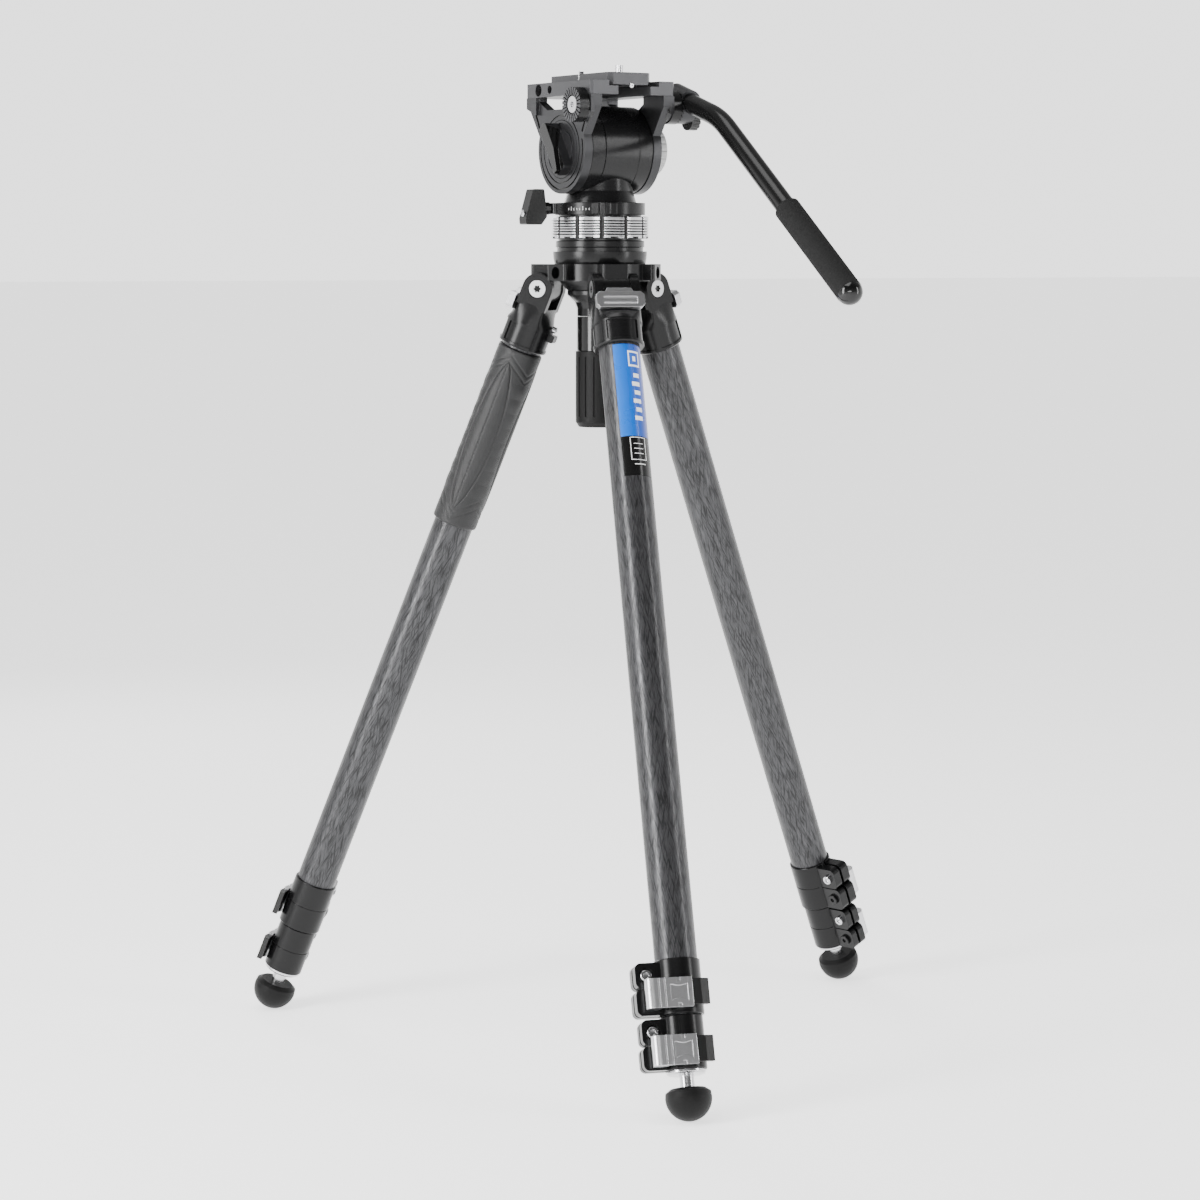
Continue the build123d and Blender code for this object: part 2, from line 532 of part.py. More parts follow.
pieces = {
    "spider": spider(),
    "leg_hinge_bolts": hinge_bolts(),
    "bowl_ring": bowl_ring(),
    "half_ball": half_ball(),
    "level_cup": level_cup(),
    "level_handle": level_handle(),
    "link_seat": link_seat(),
    "lock_ring": lock_ring(),
    "pan_base": pan_base(),
    "pan_lock_knob": pan_lock_knob(),
    "head_body": head_body(),
    "drag_cartridges": drag_cartridges(),
    "tilt_axle": tilt_axle(),
    "left_cheek": cheek(-1),
    "right_cheek": cheek(1),
    "left_knob": left_knob(),
    "right_knob": right_knob(),
    "platform": platform(),
    "plate_lock_knob": plate_lock_knob(),
    "camera_plate": camera_plate(),
    "camera_screw": camera_screw(),
    "rosettes": rosettes(),
    "bar_clamp": bar_clamp(),
    "clamp_knob": clamp_knob(),
    "pan_bar": pan_bar(),
    "bar_grip": bar_grip(),
}

leg_pieces = {
    "knuckle": knuckle(),
    "angle_lock": angle_lock(),
    "upper_tube": leg_tube(0),
    "upper_collar": collar(0),
    "upper_lever": flip_lever(0),
    "middle_tube": leg_tube(1),
    "lower_collar": collar(1),
    "lower_lever": flip_lever(1),
    "lower_tube": leg_tube(2),
    "end_plug": end_plug(),
    "foot": rubber_foot(),
}
for leg, azimuth in LEG_AZIMUTHS.items():
    for name, shape in leg_pieces.items():
        pieces[f"leg_{leg}_{name}"] = on_leg(shape, azimuth)
pieces["leg_a_pad"] = on_leg(leg_pad(), LEG_AZIMUTHS["a"])

os.makedirs("parts", exist_ok=True)
for name, shape in pieces.items():
    export_step(shape, f"parts/{name}.step")
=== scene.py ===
import json
import math

import bmesh
import bpy
from mathutils import Euler, Matrix, Vector

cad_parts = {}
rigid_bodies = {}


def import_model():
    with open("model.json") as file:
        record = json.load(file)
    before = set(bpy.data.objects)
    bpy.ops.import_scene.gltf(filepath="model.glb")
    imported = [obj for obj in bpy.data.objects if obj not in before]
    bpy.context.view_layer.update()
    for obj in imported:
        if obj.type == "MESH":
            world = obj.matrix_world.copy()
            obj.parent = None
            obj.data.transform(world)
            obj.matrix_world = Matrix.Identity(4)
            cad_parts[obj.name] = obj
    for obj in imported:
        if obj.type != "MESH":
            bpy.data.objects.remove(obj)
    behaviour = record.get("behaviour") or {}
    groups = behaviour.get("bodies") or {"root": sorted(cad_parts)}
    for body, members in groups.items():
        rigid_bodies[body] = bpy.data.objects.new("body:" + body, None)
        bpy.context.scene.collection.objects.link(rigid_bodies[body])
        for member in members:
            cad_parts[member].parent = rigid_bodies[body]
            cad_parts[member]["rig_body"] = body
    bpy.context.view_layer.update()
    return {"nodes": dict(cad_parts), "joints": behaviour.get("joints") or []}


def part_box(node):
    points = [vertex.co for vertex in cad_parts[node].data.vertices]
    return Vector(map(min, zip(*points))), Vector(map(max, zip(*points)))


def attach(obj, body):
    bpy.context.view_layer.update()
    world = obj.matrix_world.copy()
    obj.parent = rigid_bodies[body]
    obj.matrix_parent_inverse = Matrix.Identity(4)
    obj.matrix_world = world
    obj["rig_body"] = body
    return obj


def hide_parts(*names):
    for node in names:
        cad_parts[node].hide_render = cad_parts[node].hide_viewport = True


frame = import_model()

# A tripod with a levelling ball and a fluid head. Origin on the floor under the pan axis, +Z up, +Y ahead of
# the operator and +X to their right. Lengths are in millimetres; the shaders and the lights use metres.
MM = 0.001
LEGS = "abc"
NODES = frame["nodes"]
JOINTS = {joint["name"]: joint for joint in frame["joints"]}

# ---------------------------------------------------------------- driving dimensions
TUBE_R = 16.0                          # upper leg tube
FILM_R, PRINT_R = TUBE_R + 0.03, TUBE_R + 0.16   # label film, and the print on it
PAD_R = 18.35                          # padded sleeve, before its embossing
LEVER_TIP = 5.02                       # where the flip levers' dark tips begin, across the leg
# The hinge bolts' star drives get painted shade: gloss black in the recess.
STAR_R, STAR_SPAN = 3.1, (15.5, 17.95)   # hinge bolts' star drive: radius, and where it lies along the bolt
LUG_OUTER, LUG_INNER = -10.9, -8.8     # clamp lugs' outer and inner faces, from the collar's radius
LUG_REACH = 8.5                        # clamp bolts' line, beyond the collar's radius
CLAMP_DROP, CAM_DROP = 11.3, 31.0      # clamp bolt and cam nut, below the collar's top
BUMPER_X, BUMPER_Z = -19.0, -27.5      # bumper's stud, in the leg's own frame
HANDLE_RUBBER = 60.6                   # length of the levelling handle's rubber grip
CHEEK_FACE = 36.0                      # cheeks' outer faces, from the middle plane
WING_DEPTH = 3.1                       # how far outside the left cheek the dial's wing bar turns glossy
BAR_END = (56.2, -257.4, 604.1)        # middle of the pan bar's ball end
BAR_WAY = Vector((0, -0.788, -0.616))  # along the pan bar's lower run, towards that end
TICK_R = 36.0                          # pan base's graduated wall

CAMERA_LENS, SENSOR = 97.74, 36.0
CAMERA_DISTANCE, CAMERA_HEIGHT = 2614.6, 629.0
CAMERA_PITCH, CAMERA_HEADING = 5.99, 32.3   # degrees down, and round from straight in front
FLOOR_HALF = 80000.0
EDGE = 0.0004                          # shaded rounding of metal edges, in metres


# ---------------------------------------------------------------- places, from the frame
def leg_matrix(leg):
    """The leg's own frame: origin at its hinge, +X outwards, +Y along the hinge bolt, -Z down the leg."""
    hinge = JOINTS[f"leg_{leg}_spread"]
    y_axis = -Vector(hinge["axis"])
    z_axis = -Vector(JOINTS[f"leg_{leg}_middle_slide"]["axis"])
    x_axis = y_axis.cross(z_axis)
    turn = Matrix((x_axis, y_axis, z_axis)).transposed().to_4x4()
    return Matrix.Translation(Vector(hinge["pos_m"])) @ turn


LEG = {leg: leg_matrix(leg) for leg in LEGS}


def span_on_leg(leg, node):
    """Lowest and highest corner of a node in its leg's own frame."""
    inverse = LEG[leg].inverted()
    points = [inverse @ v.co for v in NODES[node].data.vertices]
    return [min(p[i] for p in points) for i in range(3)], [max(p[i] for p in points) for i in range(3)]


# Radius inside which the lock ring's grooves get painted shade, near-black on the silver.
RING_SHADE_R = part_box("lock_ring")[1].x - 0.35 * MM


# ---------------------------------------------------------------- materials
def new_node(tree, kind, **settings):
    made = tree.nodes.new(kind)
    for key, value in settings.items():
        setattr(made, key, value)
    return made


def set_range(node, low, high, to_low, to_high):
    for key, number in (("From Min", low), ("From Max", high), ("To Min", to_low), ("To Max", to_high)):
        node.inputs[key].default_value = number


class Shader:
    """A small helper that builds one procedural material."""

    def __init__(self, name):
        self.material = bpy.data.materials.new(name)
        self.material.use_nodes = True
        self.tree = self.material.node_tree
        self.shader = self.tree.nodes["Principled BSDF"]
        self.coords = self.node("ShaderNodeTexCoord").outputs["Object"]

    def node(self, kind, **settings):
        return new_node(self.tree, kind, **settings)

    def link(self, output, target):
        self.tree.links.new(output, target)

    def put(self, socket, value):
        if isinstance(value, bpy.types.NodeSocket):
            self.link(value, socket)
        else:
            socket.default_value = value

    def set(self, **values):
        for key, value in values.items():
            self.put(self.shader.inputs[key.replace("_", " ")], value)

    def dull(self, level):
        """How strongly the surface mirrors its surroundings, 0.5 being plain plastic."""
        self.shader.inputs["Specular IOR Level"].default_value = level

    def math(self, operation, *values, clamp=False):
        made = self.node("ShaderNodeMath", operation=operation, use_clamp=clamp)
        for socket, value in zip(made.inputs, values):
            self.put(socket, value)
        return made.outputs[0]

    def noise(self, scale, detail=3.0, rough=0.5, vector=None):
        made = self.node("ShaderNodeTexNoise")
        self.link(vector or self.coords, made.inputs["Vector"])
        made.inputs["Scale"].default_value = scale
        made.inputs["Detail"].default_value = detail
        made.inputs["Roughness"].default_value = rough
        return made.outputs["Fac"]

    def stretch(self, scale):
        made = self.node("ShaderNodeMapping")
        made.inputs["Scale"].default_value = scale
        self.link(self.coords, made.inputs["Vector"])
        return made.outputs["Vector"]

    def pair(self, x, y):
        made = self.node("ShaderNodeCombineXYZ")
        self.link(x, made.inputs["X"])
        self.link(y, made.inputs["Y"])
        return made.outputs["Vector"]

    def range(self, value, low, high, to_low, to_high):
        made = self.node("ShaderNodeMapRange")
        self.link(value, made.inputs["Value"])
        set_range(made, low, high, to_low, to_high)
        return made.outputs["Result"]

    def mix(self, factor, first, second):
        made = self.node("ShaderNodeMix", data_type="RGBA")
        self.put(made.inputs["Factor"], factor)
        self.put(made.inputs["A"], first)
        self.put(made.inputs["B"], second)
        return made.outputs["Result"]

    def bump(self, height, distance, strength, edge=0.0):
        made = self.node("ShaderNodeBump")
        made.inputs["Distance"].default_value = distance
        made.inputs["Strength"].default_value = strength
        self.link(height, made.inputs["Height"])
        if edge:
            self.link(self.rounded(edge), made.inputs["Normal"])
        self.link(made.outputs["Normal"], self.shader.inputs["Normal"])

    def rounded(self, radius):
        made = self.node("ShaderNodeBevel", samples=6)
        made.inputs["Radius"].default_value = radius
        return made.outputs["Normal"]


def grey(value, tint=0.0):
    return (value, value, value * (1 + tint), 1)


def coated_metal(name, low, high, rough, metallic=0.2, grain=5200, brush=None):
    """Anodised or painted metal: fine blasted grain, uneven sheen, softened edges."""
    s = Shader(name)
    cloud = s.noise(34, 4)
    fine = s.noise(grain, 2, 0.6, s.stretch(brush) if brush else None)
    s.set(Base_Color=s.mix(cloud, grey(low, 0.04), grey(high, 0.06)), Metallic=metallic,
          Roughness=s.range(fine, 0.3, 0.7, rough - 0.05, rough + 0.05))
    s.dull(0.3)
    s.bump(fine, 0.000008, 0.5, EDGE)
    return s.material


def bare_metal(name, level, rough, brush=(1, 1, 1), groove_shade_r=None):
    """Bare aluminium or steel with machining lines, and painted shade: near-black nearer to the pan axis
    than the given groove radius.
    """
    s = Shader(name)
    lines = s.noise(2600, 3, 0.6, s.stretch(brush))
    cloud = s.noise(45, 3)
    colour = s.mix(cloud, grey(level * 0.90, 0.02), grey(level, 0.02))
    if groove_shade_r:
        flat = s.node("ShaderNodeVectorMath", operation="LENGTH")
        s.link(s.stretch((1, 1, 0)), flat.inputs[0])
        # Painted shade: inside this radius the grooves are coloured near-black.
        dark = s.range(flat.outputs["Value"], groove_shade_r - 0.2 * MM, groove_shade_r, 1.0, 0.0)
        colour = s.mix(dark, colour, grey(0.02))
    s.set(Base_Color=colour, Metallic=1.0, Roughness=s.range(lines, 0.3, 0.7, rough - 0.03, rough + 0.04))
    s.bump(lines, 0.000004, 0.5, EDGE)
    return s.material


def pebbled(name, low, high, rough, scale, depth, edge=0.0006, mirror=0.4):
    """Rubber, foam, moulded plastic or paint with a pebbled skin, between two levels of grey."""
    s = Shader(name)
    s.dull(mirror)
    pebble = s.noise(scale, 3, 0.6)
    s.set(Base_Color=s.mix(pebble, grey(low), grey(high)), Roughness=rough)
    s.bump(pebble, depth, 0.8, edge)
    return s.material


def round_and_along(s, leg):
    """Places on a leg's tubes, counted in fibre slivers: round the tube and along it."""
    half_turn, length = 7, 17.8 * MM   # slivers in half a turn, and one sliver's length
    inverse = LEG[leg].inverted()
    own = s.node("ShaderNodeMapping")
    own.inputs["Rotation"].default_value = inverse.to_euler("XYZ")
    own.inputs["Location"].default_value = inverse.to_translation()
    s.link(s.coords, own.inputs["Vector"])
    parts = s.node("ShaderNodeSeparateXYZ")
    s.link(own.outputs["Vector"], parts.inputs["Vector"])
    angle = s.math("ARCTAN2", parts.outputs["Y"], parts.outputs["X"])
    return s.math("MULTIPLY", angle, half_turn / math.pi), s.math("DIVIDE", parts.outputs["Z"], length)


def slivers(s, lines):
    """Lens-shaped slivers between two sets of crossing lines, each with its own brightness."""
    repeat = 28.0
    cell = s.pair(s.math("FLOOR", s.math("WRAP", lines[0], repeat, 0.0)), s.math("FLOOR", lines[1]))
    shade = s.node("ShaderNodeTexWhiteNoise", noise_dimensions="2D")
    s.link(cell, shade.inputs["Vector"])
    inside = [s.math("SUBTRACT", s.math("FRACT", line), 0.5) for line in lines]
    across = s.math("ABSOLUTE", s.math("ADD", *inside))
    length = s.math("SUBTRACT", *inside)
    taper = s.math("MULTIPLY", s.math("MULTIPLY", length, length), 1.15)
    lens = s.math("ADD", s.math("DIVIDE", across, 0.62), taper)
    level = s.math("POWER", shade.outputs["Value"], 2.2)
    return s.math("MULTIPLY", s.range(lens, 0.25, 0.95, 1.0, 0.0), level)


def carbon(leg):
    """Wound carbon under clear gloss: long crossing streaks, and staggered slivers that catch the light."""
    s = Shader(f"carbon_{leg}")
    around, along = round_and_along(s, leg)
    lines = [s.math("ADD", around, along), s.math("SUBTRACT", around, along)]
    bright = slivers(s, lines)
    streaks = []
    for line, shift in zip(lines, (0.0, 7.3)):
        across = s.math("ADD", s.math("MULTIPLY", s.math("ADD", line, around), 1.5), shift)
        streaks.append(s.noise(1.9, 3, 0.55, s.pair(across, s.math("MULTIPLY", along, 0.6))))
    streak = s.range(s.math("MINIMUM", *streaks), 0.36, 0.52, 0.03, 0.62)
    fibre = s.noise(1.5, 2, 0.5, s.pair(s.math("MULTIPLY", around, 26.0), along))
    light = s.math("ADD", streak, s.math("MULTIPLY", bright, 0.38))
    light = s.math("MULTIPLY", light, s.range(fibre, 0.3, 0.7, 0.7, 1.15), clamp=True)
    s.dull(0.3)
    s.set(Base_Color=s.mix(light, grey(0.003, 0.15), grey(0.085, 0.05)),
          Metallic=s.range(light, 0, 1, 0.3, 0.9), Roughness=s.range(light, 0, 1, 0.46, 0.33),
          Coat_Weight=0.25, Coat_Roughness=0.2)
    s.bump(streak, 0.00006, 0.4)
    return s.material


def label_with_painted_shade(name, left, right, leg):
    """Printed film with painted light and shade: its colour runs from the bright one to the dark one across
    the tube.
    """
    s = Shader(name)
    across_way = LEG[leg].to_3x3() @ Vector((0, 1, 0))
    across = s.node("ShaderNodeVectorMath", operation="DOT_PRODUCT")
    across.inputs[1].default_value = across_way
    s.link(s.coords, across.inputs[0])
    centre = across_way.dot(LEG[leg].to_translation())
    # Painted light and shade: bright on one side of the tube, dark on the other.
    painted_shading = s.range(across.outputs["Value"], centre - 12 * MM, centre + 14 * MM, 0.0, 1.0)
    s.set(Base_Color=s.mix(painted_shading, left, right), Roughness=s.range(s.noise(60), 0.3, 0.7, 0.24, 0.34),
          Coat_Weight=0.3, Coat_Roughness=0.1)
    return s.material


def pad_leather():
    """Black grained rubber-leather."""
    s = Shader("pad_leather")
    cells = s.node("ShaderNodeTexVoronoi", feature="DISTANCE_TO_EDGE")
    cells.inputs["Scale"].default_value = 950
    s.link(s.coords, cells.inputs["Vector"])
    grain = s.math("MINIMUM", cells.outputs["Distance"], 0.25)
    cloud = s.noise(60, 3)
    s.dull(0.45)
    s.set(Base_Color=s.mix(cloud, grey(0.003, 0.05), grey(0.008, 0.08)),
          Roughness=s.range(grain, 0, 0.25, 0.56, 0.36))
    s.bump(grain, 0.00035, 0.8)
    return s.material


M = {
    "anodised": coated_metal("anodised_black", low=0.003, high=0.006, rough=0.24),
    "satin": coated_metal("satin_black", low=0.004, high=0.007, rough=0.26),
    "barrel": coated_metal("barrel_black", low=0.005, high=0.008, rough=0.25, brush=(18, 1, 1), grain=700),
    "cheek": coated_metal("cheek_black", low=0.030, high=0.045, rough=0.33, metallic=0.7, grain=6500),
    "plate": coated_metal("plate_grey", low=0.05, high=0.075, rough=0.36, metallic=0.7, grain=6500),
    "silver": bare_metal("silver_metal", level=0.62, rough=0.30),
    # Lock ring: bare silver, with painted shade in its grooves.
    "ring": bare_metal("ring_silver_groove_shade", level=0.55, rough=0.20, brush=(1, 1, 9), groove_shade_r=RING_SHADE_R),
    "steel": bare_metal("bright_steel", level=0.62, rough=0.20),
    "rubber": pebbled("black_rubber", 0.003, 0.006, rough=0.50, scale=1500, depth=0.00015, mirror=0.16),
    "foam": pebbled("foam_grip", 0.004, 0.026, rough=0.95, scale=1100, depth=0.0007, mirror=0.12),
    "plastic": pebbled("black_plastic", 0.004, 0.007, rough=0.34, scale=4200, depth=0.00001),
    "gloss": pebbled("gloss_black", 0.003, 0.005, rough=0.12, scale=300, depth=0.000003),
    "bar": pebbled("bar_black", 0.003, 0.005, rough=0.22, scale=300, depth=0.000003, mirror=0.28),
    "grey_knob": pebbled("grey_knob", 0.36, 0.44, rough=0.42, scale=2500, depth=0.00005),
    "leather": pad_leather(),
    "white": pebbled("white_mark", 0.80, 0.86, rough=0.45, scale=900, depth=0.00001, edge=0),
    "dark_print": pebbled("dark_print", 0.003, 0.006, rough=0.22, scale=900, depth=0.00001, edge=0),
    # Painted light and shade on the blue label: bright blue on one side of the tube, dark navy on the other.
    "blue": label_with_painted_shade("blue_label", (0.0, 0.15, 0.62, 1), (0.0, 0.035, 0.32, 1), "b"),
}
CARBON = {leg: carbon(leg) for leg in LEGS}


def paint(node, material):
    slots = NODES[node].data.materials
    slots.clear()
    slots.append(material)


def repaint(node, first, second, inside):
    """A copy of a CAD node that carries a second material where inside(point) is true."""
    source = NODES[node]
    # For the cheeks' grooves and the hinge bolts' star drives, the second material is painted shade.
    piece = bpy.data.objects.new(f"{node}_finish", source.data.copy())
    bpy.context.scene.collection.objects.link(piece)
    mesh = piece.data
    mesh.materials.clear()
    mesh.materials.append(first)
    mesh.materials.append(second)
    for face in mesh.polygons:
        face.material_index = 1 if inside(face.center) else 0
    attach(piece, source["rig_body"])
    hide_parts(node)


# ---------------------------------------------------------------- mesh pieces
def piece_from(name, verts, faces, material, body, smooth=40):
    """A mesh piece on a body, with edges sharper than smooth degrees kept crisp."""
    mesh = bpy.data.meshes.new(name)
    mesh.from_pydata([tuple(v) for v in verts], [], faces)
    build = bmesh.new()
    build.from_mesh(mesh)
    bmesh.ops.remove_doubles(build, verts=build.verts, dist=1e-7)
    bmesh.ops.recalc_face_normals(build, faces=build.faces)
    build.to_mesh(mesh)
    build.free()
    mesh.materials.append(material)
    mesh.shade_smooth()
    mesh.set_sharp_from_angle(angle=math.radians(smooth))
    piece = bpy.data.objects.new(name, mesh)
    bpy.context.scene.collection.objects.link(piece)
    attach(piece, body)
    return piece


def curved_patch(name, radius, angles, stations, leg, material, body, depth=0.12, columns=24, rows=2):
    """A thin film on a leg tube, between two angles (degrees from outwards) and two stations (mm)."""
    verts, faces = [], []
    for lift in (0.0, depth):
        for r in range(rows + 1):
            s = stations[0] + (stations[1] - stations[0]) * r / rows
            for c in range(columns + 1):
                a = math.radians(angles[0] + (angles[1] - angles[0]) * c / columns)
                p = Vector(((radius + lift) * math.cos(a), (radius + lift) * math.sin(a), -s)) * MM
                verts.append(LEG[leg] @ p)
    width, layer = columns + 1, (columns + 1) * (rows + 1)
    for r in range(rows):
        for c in range(columns):
            a = r * width + c
            faces.append((a, a + 1, a + width + 1, a + width))
            faces.append((layer + a, layer + a + width, layer + a + width + 1, layer + a + 1))
    rim = list(range(width)) + [r * width + columns for r in range(1, rows + 1)]
    rim += [rows * width + c for c in range(columns - 1, -1, -1)]
    rim += [r * width for r in range(rows - 1, 0, -1)]
    for a, b in zip(rim, rim[1:] + rim[:1]):
        faces.append((a, b, layer + b, layer + a))
    return piece_from(name, verts, faces, material, body)


def socket_bolt(name, place, radius, height, socket, material, body):
    """A cap-screw head with a bevelled rim and a six-sided socket. The place's +Z points out of the head."""
    steps, bevel, hexagon = 48, 0.5, None
    bottom = height - socket * 0.8
    levels = ((radius, 0.0), (radius, height - bevel), (radius - bevel, height), (hexagon, height),
              (hexagon, bottom), (0.0, bottom - 0.3))
    verts, faces = [], []
    for level, z in levels:
        for i in range(steps):
            angle = 2 * math.pi * i / steps
            r = level
            if level is hexagon:
                r = socket * math.cos(math.pi / 6) / math.cos((angle % (math.pi / 3)) - math.pi / 6)
            verts.append(place @ (Vector((r * math.cos(angle), r * math.sin(angle), z)) * MM))
    for row in range(len(levels) - 1):
        for i in range(steps):
            j = (i + 1) % steps
            faces.append((row * steps + i, row * steps + j, (row + 1) * steps + j, (row + 1) * steps + i))
    faces.append(tuple(range(steps)))
    return piece_from(name, verts, faces, material, body, 30)


def bar_block(name, place, size, material, body, bevel):
    """A small bevelled block, its size in mm."""
    build = bmesh.new()
    bmesh.ops.create_cube(build, size=1.0)
    for v in build.verts:
        v.co = Vector((v.co.x * size[0], v.co.y * size[1], v.co.z * size[2]))
    bmesh.ops.bevel(build, geom=build.edges[:], offset=bevel, segments=2, affect="EDGES", profile=0.6)
    verts = [place @ (v.co * MM) for v in build.verts]
    faces = [[v.index for v in f.verts] for f in build.faces]
    build.free()
    return piece_from(name, verts, faces, material, body)


def at(x, y, z, axis="Z"):
    """A place in mm, turned so that its own Z axis points along the named one."""
    turns = {"Z": (0, 0, 0), "X": (0, 90, 0), "-X": (0, -90, 0), "-Y": (90, 0, 0)}
    turn = Euler([math.radians(a) for a in turns[axis]]).to_matrix().to_4x4()
    return Matrix.Translation(Vector((x, y, z)) * MM) @ turn


# ---------------------------------------------------------------- camera, light and floor
def camera():
    turn, away = math.radians(CAMERA_HEADING), CAMERA_DISTANCE * MM
    made = bpy.data.objects.new("camera", bpy.data.cameras.new("camera"))
    made.data.lens = CAMERA_LENS
    made.data.sensor_width = SENSOR
    made.location = (-away * math.sin(turn), -away * math.cos(turn), CAMERA_HEIGHT * MM)
    made.rotation_euler = (math.radians(90 - CAMERA_PITCH), 0, -turn)
    bpy.context.scene.collection.objects.link(made)
    bpy.context.scene.camera = made


def lights():
    """Soft panels placed by the camera's own right, front and up, in metres from under the object."""
    turn = math.radians(CAMERA_HEADING)
    side = Vector((math.cos(turn), -math.sin(turn), 0))
    front = Vector((-math.sin(turn), -math.cos(turn), 0))
    up = Vector((0, 0, 1))
    world_light(front)
    panel("key", -side * 1.55 + front * 1.15 + up * 0.95, target_z=0.45, size=(0.55, 1.55), power=52)
    panel("fill", side * 1.9 + front * 0.75 + up * 0.9, target_z=0.42, size=(0.24, 1.5), power=15)
    panel("top", -side * 0.3 + front * 0.5 + up * 2.3, target_z=0.5, size=(1.3, 1.3), power=24)
    panel("band", front * 3.1 + up * 0.86, target_z=0.66, size=(1.4, 0.24), power=24)
    panel("back", -front * 1.7 - side * 0.7 + up * 1.4, target_z=0.5, size=(0.4, 1.6), power=12)


def pale_floor():
    wide = FLOOR_HALF * MM
    mesh = bpy.data.meshes.new("floor")
    corners = [(-wide, -wide, 0), (wide, -wide, 0), (wide, wide, 0), (-wide, wide, 0)]
    mesh.from_pydata(corners, [], [(0, 1, 2, 3)])
    floor = bpy.data.objects.new("floor", mesh)
    bpy.context.scene.collection.objects.link(floor)
    s = Shader("floor_white")
    s.set(Base_Color=s.mix(s.noise(3), grey(0.93), grey(0.96)), Roughness=0.8,
          Emission_Color=grey(1.0), Emission_Strength=1.5)
    mesh.materials.append(s.material)


def world_light(front):
    """White all round the horizon behind the object, darker overhead and on the camera's side."""
    world = bpy.data.worlds.new("studio")
    bpy.context.scene.world = world
    world.use_nodes = True
    tree = world.node_tree
    way = new_node(tree, "ShaderNodeTexCoord").outputs["Generated"]
    split = new_node(tree, "ShaderNodeSeparateXYZ")
    tree.links.new(way, split.inputs["Vector"])
    overhead = new_node(tree, "ShaderNodeMapRange", interpolation_type="SMOOTHSTEP")
    tree.links.new(split.outputs["Z"], overhead.inputs["Value"])
    set_range(overhead, 0.16, 0.55, 2.3, 0.45)
    toward = new_node(tree, "ShaderNodeVectorMath", operation="DOT_PRODUCT")
    tree.links.new(way, toward.inputs[0])
    toward.inputs[1].default_value = front
    camera_side = new_node(tree, "ShaderNodeMapRange", interpolation_type="SMOOTHSTEP")
    tree.links.new(toward.outputs["Value"], camera_side.inputs["Value"])
    set_range(camera_side, -0.35, 0.5, 1.0, 0.22)
    level = new_node(tree, "ShaderNodeMath", operation="MULTIPLY")
    tree.links.new(overhead.outputs["Result"], level.inputs[0])
    tree.links.new(camera_side.outputs["Result"], level.inputs[1])
    background = tree.nodes["Background"]
    background.inputs["Color"].default_value = grey(1.0)
    tree.links.new(level.outputs["Value"], background.inputs["Strength"])


def panel(name, place, target_z, size, power):
    """A rectangular light at a place, facing a point of the pan axis."""
    light = bpy.data.objects.new(name, bpy.data.lights.new(name, "AREA"))
    light.data.shape = "RECTANGLE"
    light.data.size, light.data.size_y = size
    light.data.energy = power
    light.location = place
    light.rotation_euler = (Vector((0, 0, target_z)) - place).to_track_quat("-Z", "Y").to_euler()
    bpy.context.scene.collection.objects.link(light)


# ---------------------------------------------------------------- finishes of the CAD pieces, and painted shade in some of their recesses
def finish_cad():
    """Satin black on every CAD node, then the others' own finishes, the lock ring's with painted shade in
    its grooves.
    """
    for node in NODES:
        paint(node, M["satin"])
    own = {
        "bowl_ring": "plastic", "half_ball": "anodised", "level_cup": "anodised", "link_seat": "anodised",
        "lock_ring": "ring", "pan_lock_knob": "bar", "head_body": "barrel", "drag_cartridges": "barrel",
        "tilt_axle": "steel", "right_knob": "grey_knob", "platform": "plate", "plate_lock_knob": "plastic",
        "camera_plate": "plate", "camera_screw": "steel", "bar_clamp": "cheek", "clamp_knob": "plastic",
        "pan_bar": "bar",
    }
    for node, key in own.items():
        paint(node, M[key])
    for leg in LEGS:
        for part, key in (("angle_lock", "silver"), ("upper_collar", "anodised"),
                          ("lower_collar", "anodised"), ("end_plug", "steel"), ("foot", "rubber")):
            paint(f"leg_{leg}_{part}", M[key])
        for part in ("upper_tube", "middle_tube", "lower_tube"):
            paint(f"leg_{leg}_{part}", CARBON[leg])


def lever_tips():
    for leg in LEGS:
        back = LEG[leg].inverted()
        for level in ("upper", "lower"):
            repaint(f"leg_{leg}_{level}_lever", M["silver"], M["plastic"],
                    lambda p: (back @ p).y > LEVER_TIP * MM)


def bolt_drive_shade():
    """Painted shade in the star drives of the hinge bolts' heads: their recesses are coloured gloss black.
    """
    to_legs = [LEG[leg].inverted() for leg in LEGS]
    repaint("leg_hinge_bolts", M["silver"], M["gloss"],
            lambda p: any(in_star_drive(back @ p) for back in to_legs))


def in_star_drive(p):
    """Whether a point, in a leg's own frame, is inside the drive of a hinge bolt's head."""
    return math.hypot(p.x, p.z) < STAR_R * MM and STAR_SPAN[0] * MM < abs(p.y) < STAR_SPAN[1] * MM


def head_finishes_and_groove_shade():
    """Rubber and metal of the handle, the bar's end cap, the dial's wing bar, painted shade in the cheeks'
    grooves, and toothed faces.
    """
    rubber_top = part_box("level_handle")[0].z + HANDLE_RUBBER * MM
    repaint("level_handle", M["rubber"], M["gloss"], lambda p: p.z > rubber_top)
    bar_end = Vector(BAR_END) * MM
    repaint("bar_grip", M["foam"], M["gloss"], lambda p: (p - bar_end).dot(BAR_WAY) > 0)
    wing_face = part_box("left_cheek")[0].x - WING_DEPTH * MM
    repaint("left_knob", M["cheek"], M["gloss"], lambda p: p.x < wing_face)
    # Painted shade: the cheeks' grooves, just inside their outer faces, are coloured gloss black.
    groove = (CHEEK_FACE - 1.4) * MM, (CHEEK_FACE - 0.05) * MM
    for side in ("left", "right"):
        repaint(f"{side}_cheek", M["cheek"], M["gloss"], lambda p: groove[0] < abs(p.x) < groove[1])
    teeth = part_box("rosettes")[1].x - 0.03 * MM
    repaint("rosettes", M["anodised"], M["plate"], lambda p: abs(p.x) > teeth)


